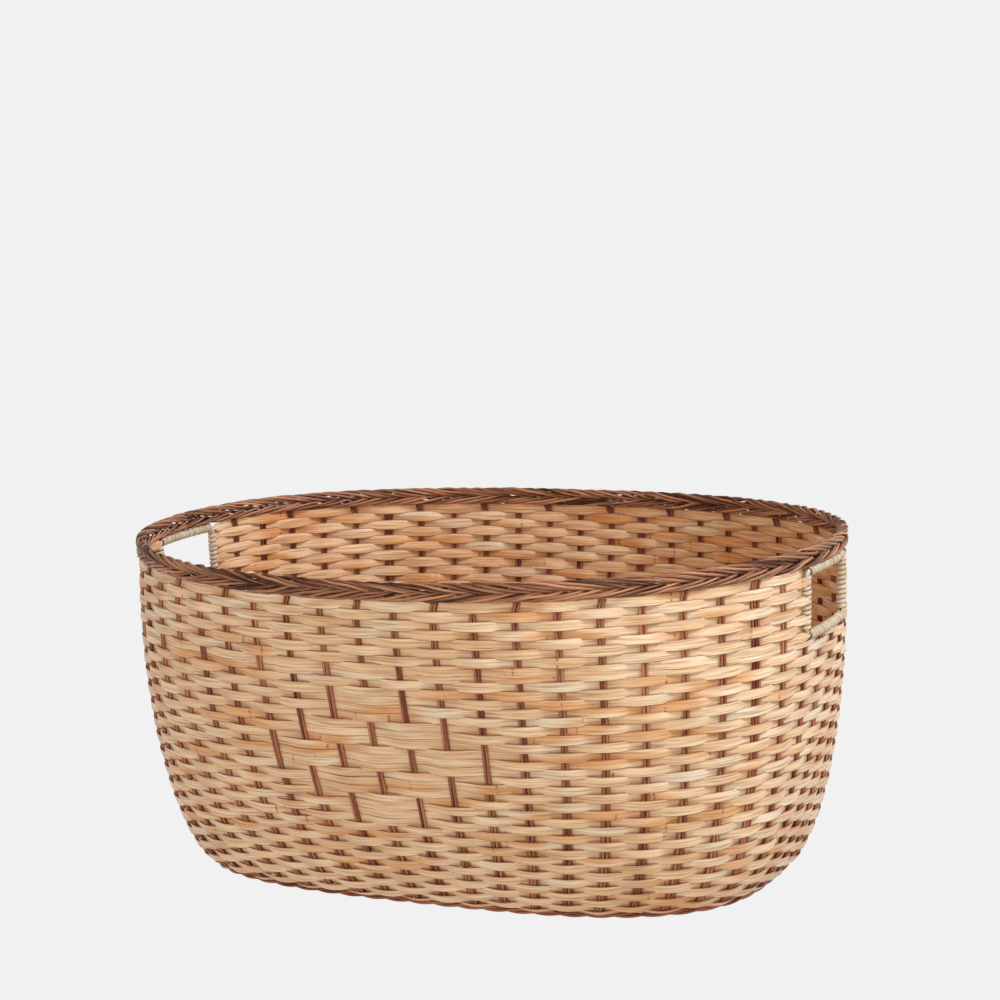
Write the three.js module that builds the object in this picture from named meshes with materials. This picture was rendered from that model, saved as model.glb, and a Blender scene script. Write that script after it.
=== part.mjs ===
import * as THREE from 'three';

// Basket, in millimetres, standing on z = 0 with its long axis along X
const RIM_LENGTH = 600;
const RIM_WIDTH = 468;
const RIM_SQUARENESS = 2.16;
const BASE_LENGTH = 496;
const BASE_WIDTH = 300;
const BASE_SQUARENESS = 3;
const WALL_TOP = 266.5;
const END_RISE = 4.6;
const END_BULGE = 1.8;
const SIDE_BULGE = 1.4;

// Foot and base
const FOOT_HEIGHT = 4.4;
const FOOT_WIDTH = 7;
const FOOT_FACETS = 44;
const FOOT_TAPER = 0.7;
const BASE_THICKNESS = 5;

// Stakes
const FRONT_STAKES = 23;
const BACK_STAKES = 24;
const STAKE_WIDTH = 4.8;
const STAKE_DEPTH = 2.4;
const STAKE_BEND = 3.4;
const STAKE_EASE = 0.2;
const STAKE_CORNER = 1.6;
const STAKE_END_ROWS = 2;
const HANDLE_STAKES = 2;
const STAKE_STATIONS = [0.016, 0.08, 0.19, 0.34, 0.515, 0.705, 0.88];

// Weavers
const RING_ROWS = 29;
const HANDLE_ROWS = 8;
const RING_WEAVERS = 11;
const WEAVER_DEPTH = 1.8;
const WEAVER_CLEARANCE = 0.95;
const ROW_GAP = 0.5;
const ROW_START = 11;
const TAPER_LEAST = 0.25;
const STRIP_END = 0.47;
const TURN_NEAR = 0.1;
const TURN_FAR = 0.9;

// Figure of long floats in the front
const FIGURE_ROW = 12;
const FIGURE_TIER_ROWS = 3;
const FIGURE_REACH = [1, 2, 3, 2, 1];

// Plaited border
const BORDER_HEIGHT = 15.5;
const BORDER_WAVES = 8;
const BORDER_STEPS = 12;
const BORDER_STRANDS = 3;
const STRAND_RADIUS = 3.2;
const STRAND_SIDES = 3;
const BORDER_SPREAD = 5.5;
const BORDER_GAP = 0.1;

// Handles
const HANDLE_WIDTH = 88;
const BAR = 5;
const FRAME_STEPS = 8;
const BINDING_WIDTH = 3.6;
const BINDING_DEPTH = 1.2;
const BINDING_PITCH = 5.2;
const BAR_CORNERS = 4;
const FIT_GAP = 0.4;

const straw = new THREE.MeshStandardMaterial({ color: 0xdfb987, roughness: 0.62, metalness: 0 });
const brown = new THREE.MeshStandardMaterial({ color: 0x8f5734, roughness: 0.6, metalness: 0 });
const plait = new THREE.MeshStandardMaterial({ color: 0x9a6038, roughness: 0.58, metalness: 0 });
const cane = new THREE.MeshStandardMaterial({ color: 0xd9c49a, roughness: 0.55, metalness: 0 });

const ROWS = RING_ROWS + HANDLE_ROWS;
const mix = (a, b, t) => a + (b - a) * t;
const clamp = (x, a, b) => Math.min(b, Math.max(a, x));

// Wall profile: u runs from the base to the top of the wall
function bulge(u, p) {
  const w = clamp(u, 0, 1);
  return Math.pow(1 - Math.pow(1 - w, p), 1 / p);
}

function section(u) {
  const a = mix(BASE_LENGTH, RIM_LENGTH, bulge(u, END_BULGE)) / 2;
  const b = mix(BASE_WIDTH, RIM_WIDTH, bulge(u, SIDE_BULGE)) / 2;
  const n = mix(BASE_SQUARENESS, RIM_SQUARENESS, u);
  return { a, b, n, z: mix(FOOT_HEIGHT, WALL_TOP, u) };
}

// Length along the middle of the profile, so that the rows are evenly high
const PROFILE_STEPS = 400;
const profile = [{ u: 0, l: 0 }];
for (let i = 1; i <= PROFILE_STEPS; i += 1) {
  const u = Math.pow(i / PROFILE_STEPS, 2);
  const p = section(profile[i - 1].u);
  const q = section(u);
  const out = ((q.a - p.a) + (q.b - p.b)) / 2;
  profile.push({ u, l: profile[i - 1].l + Math.hypot(out, q.z - p.z) });
}
const WALL_LENGTH = profile[PROFILE_STEPS].l;
const PITCH = (WALL_LENGTH - ROW_START) / ROWS;

function heightAt(v) {
  const l = clamp(ROW_START + v * PITCH, 0, WALL_LENGTH);
  let i = 1;
  while (i < PROFILE_STEPS && profile[i].l < l) {
    i += 1;
  }
  const p = profile[i - 1];
  const q = profile[i];
  return mix(p.u, q.u, (l - p.l) / (q.l - p.l));
}

// Quarter outline by its own length, from the end of the oval to its side
const QUARTER_STEPS = 120;
function quarter(a, b, n, part) {
  const xs = [];
  const ys = [];
  const ls = [0];
  for (let i = 0; i <= QUARTER_STEPS; i += 1) {
    const t = (Math.PI / 2) * i / QUARTER_STEPS;
    xs.push(a * Math.pow(Math.max(0, Math.cos(t)), 2 / n));
    ys.push(b * Math.pow(Math.max(0, Math.sin(t)), 2 / n));
    if (i > 0) {
      ls.push(ls[i - 1] + Math.hypot(xs[i] - xs[i - 1], ys[i] - ys[i - 1]));
    }
  }
  const l = clamp(part, 0, 1) * ls[QUARTER_STEPS];
  let k = 1;
  while (k < QUARTER_STEPS && ls[k] < l) {
    k += 1;
  }
  const f = (l - ls[k - 1]) / (ls[k] - ls[k - 1]);
  return { x: mix(xs[k - 1], xs[k], f), y: mix(ys[k - 1], ys[k], f), total: ls[QUARTER_STEPS] };
}

// Point of the wall: v in rows, s once round from the left end by the front
function wall(v, s) {
  const u = heightAt(v);
  const { a, b, n, z } = section(u);
  const turn = (s - Math.floor(s)) * 4;
  const side = Math.min(3, Math.floor(turn));
  const part = turn - side;
  const q = quarter(a, b, n, side % 2 === 0 ? part : 1 - part);
  const x = side === 0 || side === 3 ? -q.x : q.x;
  const y = side < 2 ? -q.y : q.y;
  const rise = END_RISE * u * Math.pow(2 * x / RIM_LENGTH, 2);
  return new THREE.Vector3(x, y, z + rise);
}

const RIM_ROUND = 4 * quarter(RIM_LENGTH / 2, RIM_WIDTH / 2, RIM_SQUARENESS, 1).total;

// Directions on the wall: along the row, up the wall and out of it
const STEP_ROUND = 0.002;
const STEP_ROWS = 0.25;
function axes(v, s) {
  const along = wall(v, s + STEP_ROUND).sub(wall(v, s - STEP_ROUND)).normalize();
  const above = wall(Math.min(v + STEP_ROWS, ROWS), s);
  const below = wall(Math.min(v, ROWS - STEP_ROWS) - STEP_ROWS, s);
  const up = above.sub(below);
  const out = along.clone().cross(up).normalize();
  return { along, up: out.clone().cross(along).normalize(), out };
}

function place(v, s, out = 0) {
  return wall(v, s).addScaledVector(axes(v, s).out, out);
}

// Closed body from rings of points, turned to face out
function body(name, rings, material, closed = false) {
  const m = rings[0].length;
  const points = rings.flat();
  const faces = [];
  const last = closed ? rings.length : rings.length - 1;
  for (let i = 0; i < last; i += 1) {
    const j = (i + 1) % rings.length;
    for (let k = 0; k < m; k += 1) {
      const l = (k + 1) % m;
      faces.push([i * m + k, j * m + k, j * m + l]);
      faces.push([i * m + k, j * m + l, i * m + l]);
    }
  }
  if (!closed) {
    const end = (rings.length - 1) * m;
    for (let k = 1; k < m - 1; k += 1) {
      faces.push([0, k, k + 1]);
      faces.push([end, end + k + 1, end + k]);
    }
  }
  let volume = 0;
  for (const [a, b, c] of faces) {
    volume += points[a].dot(points[b].clone().cross(points[c]));
  }
  const index = faces.flatMap(([a, b, c]) => (volume > 0 ? [a, b, c] : [a, c, b]));
  const geometry = new THREE.BufferGeometry();
  const flat = points.flatMap((p) => [p.x, p.y, p.z]);
  geometry.setAttribute('position', new THREE.Float32BufferAttribute(flat, 3));
  geometry.setIndex(index);
  geometry.computeVertexNormals();
  const mesh = new THREE.Mesh(geometry, material);
  mesh.name = name;
  return mesh;
}

const basket = new THREE.Group();
basket.name = 'laundry_basket';

// Places of the stakes round the wall, by length
const HALF_HANDLE = HANDLE_WIDTH / 2 / RIM_ROUND;
const stakes = [];
const addStake = (s, short) => stakes.push({ s, top: short ? RING_ROWS : ROWS });
addStake(HALF_HANDLE / 3, true);
addStake(HALF_HANDLE, true);
for (let i = 1; i <= FRONT_STAKES; i += 1) {
  addStake(mix(HALF_HANDLE, 0.5 - HALF_HANDLE, i / (FRONT_STAKES + 1)), false);
}
addStake(0.5 - HALF_HANDLE, true);
addStake(0.5 - HALF_HANDLE / 3, true);
addStake(0.5 + HALF_HANDLE / 3, true);
addStake(0.5 + HALF_HANDLE, true);
for (let i = 1; i <= BACK_STAKES; i += 1) {
  addStake(mix(0.5 + HALF_HANDLE, 1 - HALF_HANDLE, i / (BACK_STAKES + 1)), false);
}
addStake(1 - HALF_HANDLE, true);
addStake(1 - HALF_HANDLE / 3, true);
const STAKES = stakes.length;
const FIGURE_STAKE = HANDLE_STAKES + Math.floor(FRONT_STAKES / 2);

// Side of the wall on which a row passes a stake: 1 outside, -1 inside
function passes(row, k) {
  const tier = Math.floor((row - FIGURE_ROW) / FIGURE_TIER_ROWS);
  const reach = tier >= 0 && tier < FIGURE_REACH.length ? FIGURE_REACH[tier] : -1;
  const off = k - FIGURE_STAKE;
  if (Math.abs(off) <= reach) {
    return (off + reach) % 2 === 0 ? -1 : 1;
  }
  return (row + k) % 2 === 0 ? 1 : -1;
}

const SWING = (STAKE_DEPTH + WEAVER_DEPTH) / 2 + WEAVER_CLEARANCE;

// Domed strip: its two edges and the crest
function strip(low, high, s, out, back = false) {
  const cut = ROW_GAP / 2 / PITCH;
  const top = place(high - cut, s, out - WEAVER_DEPTH / 2);
  const bottom = place(low + cut, s, out - WEAVER_DEPTH / 2);
  const crest = place((low + high) / 2, s, out + WEAVER_DEPTH / 2);
  return back ? [bottom, top, crest] : [top, bottom, crest];
}

// Weavers that wind up the wall below the handles
function ringStation(j) {
  const turn = Math.floor(j / STAKES);
  const k = Math.floor(j) - turn * STAKES;
  const s = stakes[k].s;
  if (j === Math.floor(j)) {
    return { row: turn, s, out: SWING * passes(turn, k) };
  }
  const next = k + 1 < STAKES ? stakes[k + 1].s : stakes[0].s + 1;
  const whole = mix(s, next, j - Math.floor(j));
  return { row: turn, s: whole, out: 0 };
}

function ringSection(j) {
  const { row, s, out } = ringStation(j);
  const low = clamp(row - 1 + s, 0, RING_ROWS);
  const high = clamp(row + s, 0, RING_ROWS);
  return strip(low, high, s, out);
}

const firstCrossing = Math.ceil(TAPER_LEAST * STAKES);
const lastCrossing = RING_ROWS * STAKES + Math.floor((1 - TAPER_LEAST) * STAKES);
const bounds = [];
for (let i = 0; i <= RING_WEAVERS; i += 1) {
  bounds.push(Math.round(mix(firstCrossing, lastCrossing, i / RING_WEAVERS)));
}
for (let i = 0; i < RING_WEAVERS; i += 1) {
  const rings = [ringSection(bounds[i] + 1 - STRIP_END)];
  for (let j = bounds[i] + 1; j <= bounds[i + 1]; j += 1) {
    rings.push(ringSection(j));
  }
  rings.push(ringSection(bounds[i + 1] + STRIP_END));
  basket.add(body(`weaver_ring_${String(i + 1).padStart(2, '0')}`, rings, straw));
}

// Weavers that turn back at the handles, on the front and the back
const BINDING_SEAT = BAR / 2 + FIT_GAP;
const BINDING_LIFT = BINDING_DEPTH * Math.SQRT1_2;
const BINDING_REACH = BINDING_SEAT + BINDING_LIFT;
const TURN = PITCH / RIM_ROUND;
function turningWeaver(name, first, count, k0, k1, s0, s1) {
  const rings = [];
  for (let i = 0; i < count; i += 1) {
    const row = first + i;
    const forth = i % 2 === 0;
    const low = row;
    const high = row + 1;
    const ends = forth ? [s0, s1] : [s1, s0];
    rings.push(strip(low, high, ends[0], 0, !forth));
    for (let n = 0; n <= k1 - k0; n += 1) {
      const k = forth ? k0 + n : k1 - n;
      rings.push(strip(low, high, stakes[k].s, SWING * passes(row, k), !forth));
    }
    rings.push(strip(low, high, ends[1], 0, !forth));
    if (i < count - 1) {
      const way = forth ? 1 : -1;
      const near = ends[1] + way * TURN * TURN_NEAR;
      const far = ends[1] + way * TURN * TURN_FAR;
      const inner = place(high, near, -WEAVER_DEPTH / 2);
      const outer = place(high, far, -WEAVER_DEPTH / 2);
      const crest = place(high, (near + far) / 2, WEAVER_DEPTH / 2);
      rings.push(forth ? [inner, outer, crest] : [outer, inner, crest]);
    }
  }
  basket.add(body(name, rings, straw));
}

const END_ROOM = (BINDING_REACH + FIT_GAP + PITCH) / RIM_ROUND;
const frontFirst = HANDLE_STAKES;
const frontLast = frontFirst + FRONT_STAKES - 1;
const backFirst = frontLast + 2 * HANDLE_STAKES + 1;
const backLast = backFirst + BACK_STAKES - 1;
const lowRows = Math.ceil(HANDLE_ROWS / 2);
const highRows = HANDLE_ROWS - lowRows;
const frontEnds = [HALF_HANDLE + END_ROOM, 0.5 - HALF_HANDLE - END_ROOM];
const backEnds = [0.5 + HALF_HANDLE + END_ROOM, 1 - HALF_HANDLE - END_ROOM];
turningWeaver('weaver_front_lower', RING_ROWS, lowRows, frontFirst, frontLast, ...frontEnds);
turningWeaver('weaver_front_upper', RING_ROWS + lowRows, highRows, frontFirst, frontLast, ...frontEnds);
turningWeaver('weaver_back_lower', RING_ROWS, lowRows, backFirst, backLast, ...backEnds);
turningWeaver('weaver_back_upper', RING_ROWS + lowRows, highRows, backFirst, backLast, ...backEnds);

// Stakes, each rod bent at the foot into two neighbouring uprights
function stakeSection(v, s, turn) {
  const { along, up, out } = axes(v, s);
  const left = up.clone().multiplyScalar(Math.cos(turn)).addScaledVector(along, Math.sin(turn));
  const middle = place(v, s, STAKE_EASE);
  const half = STAKE_WIDTH / 2;
  const back = middle.clone().addScaledVector(out, -STAKE_DEPTH / 2);
  return [
    back.clone().addScaledVector(left, half),
    back.clone().addScaledVector(left, -half),
    middle.clone().addScaledVector(out, STAKE_DEPTH / 2),
  ];
}

function legHeights(top) {
  const end = top - FIT_GAP / PITCH;
  const inner = STAKE_STATIONS.map((f) => f * ROWS);
  return [...inner.filter((v) => v < end - STAKE_END_ROWS), end];
}

const BEND = (STAKE_BEND - ROW_START) / PITCH;
const CORNER = STAKE_CORNER / RIM_ROUND;
let hoop = 0;
for (let k = 0; k < STAKES; k += 2) {
  hoop += 1;
  const a = stakes[k];
  const rings = legHeights(a.top).reverse().map((v) => stakeSection(v, a.s, Math.PI / 2));
  if (k + 1 < STAKES) {
    const b = stakes[k + 1];
    rings.push(stakeSection(BEND, a.s + CORNER, Math.PI / 4));
    rings.push(stakeSection(BEND, b.s - CORNER, -Math.PI / 4));
    rings.push(...legHeights(b.top).map((v) => stakeSection(v, b.s, -Math.PI / 2)));
  } else {
    rings.push(stakeSection(BEND, a.s, Math.PI / 2));
  }
  basket.add(body(`stake_rod_${String(hoop).padStart(2, '0')}`, rings, brown));
}

// Plaited border, three strands crossing in turn
const WEAVE_RISE = BORDER_HEIGHT / 2 - STRAND_RADIUS * Math.sin(2 * Math.PI / STRAND_SIDES);
function strandSection(t, strand) {
  const s = t / (BORDER_WAVES * BORDER_STEPS);
  const phase = 2 * Math.PI * (t / BORDER_STEPS + strand / BORDER_STRANDS);
  const { out } = axes(ROWS, s);
  const level = new THREE.Vector3(out.x, out.y, 0).normalize();
  const middle = wall(ROWS, s);
  middle.z += BORDER_GAP + BORDER_HEIGHT / 2 + WEAVE_RISE * Math.sin(phase);
  middle.addScaledVector(level, -BORDER_SPREAD * Math.sin(2 * phase));
  const ring = [];
  for (let i = 0; i < STRAND_SIDES; i += 1) {
    const angle = 2 * Math.PI * i / STRAND_SIDES;
    const p = middle.clone().addScaledVector(level, STRAND_RADIUS * Math.cos(angle));
    p.z += STRAND_RADIUS * Math.sin(angle);
    ring.push(p);
  }
  return ring;
}
for (let strand = 0; strand < BORDER_STRANDS; strand += 1) {
  const rings = [];
  for (let t = 0; t < BORDER_WAVES * BORDER_STEPS; t += 1) {
    rings.push(strandSection(t, strand));
  }
  basket.add(body(`border_strand_${strand + 1}`, rings, plait, true));
}

// Foot border and base panel, both flat underneath
const FOOT_LEVEL = -ROW_START / PITCH;
function footPoint(i, out, z) {
  const s = i / FOOT_FACETS;
  const along = wall(FOOT_LEVEL, s + STEP_ROUND).sub(wall(FOOT_LEVEL, s - STEP_ROUND));
  const side = new THREE.Vector3(along.y, -along.x, 0).normalize();
  const p = wall(FOOT_LEVEL, s).addScaledVector(side, out);
  p.z = z;
  return p;
}
const footRings = [];
const panelRings = [[], []];
for (let i = 0; i < FOOT_FACETS; i += 1) {
  const half = FOOT_WIDTH / 2;
  const top = half * FOOT_TAPER;
  footRings.push([
    footPoint(i, -half, 0),
    footPoint(i, half, 0),
    footPoint(i, top, FOOT_HEIGHT),
    footPoint(i, -top, FOOT_HEIGHT),
  ]);
  panelRings[0].push(footPoint(i, -half - FIT_GAP, 0));
  panelRings[1].push(footPoint(i, -half - FIT_GAP, BASE_THICKNESS));
}
basket.add(body('foot_border', footRings, brown, true));
basket.add(body('base_panel', panelRings, straw));

// Handles: a bound frame round each opening
const FRAME_LOW = RING_ROWS + (BINDING_REACH + FIT_GAP) / PITCH;
const FRAME_HIGH = ROWS - (BINDING_REACH + FIT_GAP) / PITCH;
const onHandle = (middle, d, v, out) => place(v, middle + d / RIM_ROUND, out);

function handleFrame(name, middle) {
  const half = BAR / 2;
  const reach = HANDLE_WIDTH / 2;
  const rise = half / PITCH;
  const path = [];
  const shares = Array.from({ length: FRAME_STEPS + 1 }, (_, i) => 2 * i / FRAME_STEPS - 1);
  for (const f of shares) {
    path.push({ d: f * reach, v: FRAME_LOW, side: Math.trunc(f), lift: -1 });
  }
  path.push({ d: reach, v: (FRAME_LOW + FRAME_HIGH) / 2, side: 1, lift: 0 });
  for (const f of shares.reverse()) {
    path.push({ d: f * reach, v: FRAME_HIGH, side: Math.trunc(f), lift: 1 });
  }
  path.push({ d: -reach, v: (FRAME_LOW + FRAME_HIGH) / 2, side: -1, lift: 0 });
  const rings = path.map(({ d, v, side, lift }) => [
    onHandle(middle, d + side * half, v + lift * rise, half),
    onHandle(middle, d - side * half, v - lift * rise, half),
    onHandle(middle, d - side * half, v - lift * rise, -half),
    onHandle(middle, d + side * half, v + lift * rise, -half),
  ]);
  basket.add(body(name, rings, brown, true));
}

// Binding wound round one bar, one station at each corner, with straight ends
let leastGap = Infinity;
function binding(name, axisAt, length) {
  const loops = Math.floor((length - 2 * BINDING_WIDTH) / BINDING_PITCH);
  const steps = loops * BAR_CORNERS;
  const span = loops * BINDING_PITCH;
  const corners = [[1, -1], [1, 1], [-1, 1], [-1, -1]];
  const station = (x, p, q) => {
    const { middle, along, one, two } = axisAt(x);
    const inner = middle.addScaledVector(one, p * BINDING_SEAT).addScaledVector(two, q * BINDING_SEAT);
    const crest = inner.clone();
    crest.addScaledVector(one, Math.round(p) * BINDING_LIFT);
    crest.addScaledVector(two, Math.round(q) * BINDING_LIFT);
    const half = BINDING_WIDTH / 2;
    return [inner.clone().addScaledVector(along, half), inner.clone().addScaledVector(along, -half), crest];
  };
  const tail = 1 - BINDING_WIDTH / BINDING_SEAT;
  const stations = [station(-span / 2, 1, tail)];
  for (let i = 0; i <= steps; i += 1) {
    const [p, q] = corners[(i + 1) % BAR_CORNERS];
    stations.push(station(-span / 2 + span * i / steps, p, q));
  }
  stations.push(station(span / 2, tail, 1));
  stations.forEach((here, i) => {
    for (const there of stations.slice(i + BAR_CORNERS - 1, i + BAR_CORNERS + 2)) {
      for (const p of here) {
        for (const q of there) {
          leastGap = Math.min(leastGap, p.distanceTo(q));
        }
      }
    }
  });
  basket.add(body(name, stations, cane));
}

const BAR_ROOM = HANDLE_WIDTH - 2 * (BINDING_REACH + FIT_GAP);
const POST_ROOM = (FRAME_HIGH - FRAME_LOW) * PITCH - 2 * (BINDING_REACH + FIT_GAP);
function barAxis(middle, v) {
  return (x) => {
    const s = middle + x / RIM_ROUND;
    const { along, up, out } = axes(v, s);
    return { middle: wall(v, s), along, one: out, two: up };
  };
}
function postAxis(s) {
  return (x) => {
    const v = (FRAME_LOW + FRAME_HIGH) / 2 + x / PITCH;
    const { along, up, out } = axes(v, s);
    return { middle: wall(v, s), along: up, one: out, two: along };
  };
}
for (const [side, middle, way] of [['left', 0, 1], ['right', 0.5, -1]]) {
  handleFrame(`handle_${side}_frame`, middle);
  binding(`handle_${side}_binding_top`, barAxis(middle, FRAME_HIGH), BAR_ROOM);
  binding(`handle_${side}_binding_bottom`, barAxis(middle, FRAME_LOW), BAR_ROOM);
  binding(`handle_${side}_binding_front`, postAxis(middle + way * HALF_HANDLE), POST_ROOM);
  binding(`handle_${side}_binding_back`, postAxis(middle - way * HALF_HANDLE), POST_ROOM);
}
console.log(`least gap of a handle binding to itself: ${leastGap.toFixed(2)} mm`);

export default basket;
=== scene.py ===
import math

import bpy
import numpy as np
from bpy.props import FloatProperty, FloatVectorProperty, IntProperty, PointerProperty
from bpy.types import Operator, Panel, PropertyGroup
from mathutils import Matrix, Vector


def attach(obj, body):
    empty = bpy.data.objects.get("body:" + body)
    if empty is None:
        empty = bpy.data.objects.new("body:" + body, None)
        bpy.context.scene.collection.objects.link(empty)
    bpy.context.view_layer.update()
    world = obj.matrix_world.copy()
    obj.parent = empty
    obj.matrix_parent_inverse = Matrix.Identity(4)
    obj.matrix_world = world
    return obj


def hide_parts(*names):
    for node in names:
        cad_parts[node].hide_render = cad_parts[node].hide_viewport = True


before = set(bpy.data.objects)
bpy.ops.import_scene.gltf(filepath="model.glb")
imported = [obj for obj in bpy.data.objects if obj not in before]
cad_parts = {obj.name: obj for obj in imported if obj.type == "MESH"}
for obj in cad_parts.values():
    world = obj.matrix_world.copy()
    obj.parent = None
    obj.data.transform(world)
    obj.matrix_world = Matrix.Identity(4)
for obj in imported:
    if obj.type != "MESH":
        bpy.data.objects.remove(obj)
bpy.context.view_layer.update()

bl_info = {
    "name": "Woven laundry basket",
    "version": (1, 0, 0),
    "blender": (4, 5, 0),
    "location": "3D View > Sidebar > Basket",
    "description": "Oval rattan laundry basket, woven strip by strip",
    "category": "Mesh",
}

BODY = "root"
UP = np.array([0.0, 0.0, 1.0])

# Figure in the front: its first row, the rows of a tier, and how many stakes each tier reaches
# to either side of the middle
FIGURE_ROW = 12
FIGURE_TIER_ROWS = 3
FIGURE_REACH = (1, 2, 3, 2, 1)

# The first strip starts below the rows, right on the foot border
LOWEST_ROW = -1.25

# Fineness of the wall and of the strands
WALL_LEVELS = 161
QUARTER_STEPS = 401
QUARTER_PARTS = 121
STEP_ROUND = 0.002
STEP_ROWS = 0.25
STRIP_SAMPLES = 8
ROD_SIDES = 8
ROUGH_EDGE = math.radians(28)


def srgb(red, green, blue):
    """Scene colour of a colour given as a screen shows it, from 0 to 255."""
    shares = (red / 255, green / 255, blue / 255)
    return tuple(c / 12.92 if c < 0.04045 else ((c + 0.055) / 1.055) ** 2.4 for c in shares)


def length(name, description, default):
    """A size of the basket, in metres."""
    return FloatProperty(name=name, description=description, default=default, min=0.0,
                         precision=4, unit="LENGTH")


def number(name, description, default):
    """A count of rows, stakes or rods."""
    return IntProperty(name=name, description=description, default=default, min=1)


def factor(name, description, default):
    """A plain number that shapes the basket."""
    return FloatProperty(name=name, description=description, default=default, min=0.0)


def colour(name, description, default):
    """A colour of the rattan or of the stage."""
    return FloatVectorProperty(name=name, description=description, default=default,
                               min=0.0, max=1.0, size=3, subtype="COLOR")


class BasketSizes(PropertyGroup):
    """Sizes of the basket and of its strands."""

    rim_length: length("Rim length", "Length of the wall at its top", 0.600)
    rim_width: length("Rim width", "Width of the wall at its top", 0.468)
    rim_squareness: factor("Rim squareness", "Two is an ellipse, more is squarer", 2.16)
    base_length: length("Base length", "Length of the wall at the foot", 0.496)
    base_width: length("Base width", "Width of the wall at the foot", 0.300)
    base_squareness: factor("Base squareness", "Two is an ellipse, more is squarer", 3.0)
    wall_top: length("Wall top", "Height of the last row", 0.2665)
    end_rise: length("End rise", "How much higher the rim is at its ends", 0.0046)
    end_bulge: factor("End bulge", "Roundness of the ends' profile", 1.8)
    side_bulge: factor("Side bulge", "Roundness of the sides' profile", 1.4)
    foot_height: length("Foot height", "Height of the foot border", 0.0044)
    foot_width: length("Foot width", "Width of the foot border", 0.007)
    row_start: length("Row start", "Way up the wall to the first row", 0.011)
    ring_rows: number("Ring rows", "Rows below the hand openings", 29)
    handle_rows: number("Handle rows", "Rows beside the hand openings", 8)
    ring_strips: number("Ring strips", "Strips that make up the rows below the openings", 11)
    front_stakes: number("Front stakes", "Tall stakes in the front", 23)
    back_stakes: number("Back stakes", "Tall stakes in the back", 24)
    strip_thickness: length("Strip thickness", "Thickness of a flat strip", 0.0011)
    strip_swing: length("Strip swing", "How far a strip moves in and out of the wall", 0.00175)
    rod_radius: length("Rod radius", "Radius of a stake's rods", 0.00125)
    border_height: length("Border height", "Height of the plaited border", 0.0155)
    border_waves: number("Border waves", "Waves of one rod of the border", 10)
    border_spread: length("Border spread", "How far a border rod moves in and out", 0.0032)
    border_rods: number("Border rods", "Rods in the border", 11)
    border_rod_radius: length("Border rod radius", "Radius of the border's rods", 0.0013)
    handle_width: length("Handle width", "Width of a hand opening between its posts", 0.088)
    bar: length("Bar", "Thickness of the frame of a hand opening", 0.005)
    binding_seat: length("Binding seat", "Radius at which the cane is wound", 0.0031)
    binding_thickness: length("Binding thickness", "Thickness of the cane", 0.0009)
    mat_pitch: length("Mat pitch", "Spacing of the strips in the base", 0.0135)


class BasketColours(PropertyGroup):
    """Colours of the rattan, the cane and the stage."""

    straw_pale: colour("Pale straw", "Lightest strips", srgb(238, 208, 169))
    straw_tan: colour("Tan straw", "Darker strips", srgb(222, 181, 136))
    straw_bleached: colour("Bleached straw", "Greyish patches of the strips", srgb(232, 222, 198))
    straw_honey: colour("Honey", "Glowing patches of the strips", srgb(216, 142, 68))
    # The node mark colour is also the painted shade in recesses and along the strands' edges
    straw_mark_and_shade: colour("Node mark and shade", "Scars, split fibres and dusty recesses", srgb(130, 60, 20))
    rod_light: colour("Light rod", "Lightest brown of the rods", srgb(194, 126, 90))
    # The darkest rod brown is also the painted shade along the rods' edges, in the grooves between them
    rod_dark_and_shade: colour("Dark rod", "Darkest brown of the rods", srgb(112, 46, 16))
    border_light: colour("Light border", "Lightest brown of the border", srgb(200, 141, 103))
    # The darkest border brown is also the painted shade in the plait's recesses and along its rods'
    # edges
    border_dark_and_shade: colour("Dark border", "Darkest brown of the border", srgb(66, 22, 8))
    cane_pale: colour("Pale cane", "Lightest cane of the bindings", srgb(220, 205, 180))
    cane_dull: colour("Dull cane", "Darkest cane of the bindings", srgb(200, 179, 145))
    floor: colour("Floor", "Floor and background", srgb(241, 241, 241))
    sky: colour("Sky", "Warm light from all round", (1.0, 0.9, 0.8))
    key: colour("Key light", "Cool light from the right", (0.7, 0.83, 1.0))
    front: colour("Front light", "Light from the front, low", (1.0, 0.985, 0.965))


def sizes():
    """The basket's sizes, as set in the scene."""
    return bpy.context.scene.basket_sizes


def colours():
    """The basket's colours, as set in the scene."""
    return bpy.context.scene.basket_colours


# The wall and its stakes

def mix(a, b, share):
    """Value between a and b."""
    return a + (b - a) * share


def rising(value, start, end):
    """Share of the way from start to end, from nought to one."""
    return np.clip((value - start) / (end - start), 0, 1)


def unit(vectors):
    """The same directions with length one."""
    return vectors / np.linalg.norm(vectors, axis=-1, keepdims=True)


def summed(steps):
    """Way covered after each step, from nought."""
    return np.concatenate([[0], np.cumsum(steps)])


def bulge(height, roundness):
    """How far the wall has widened at a share of its height."""
    return (1 - (1 - height) ** roundness) ** (1 / roundness)


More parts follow.
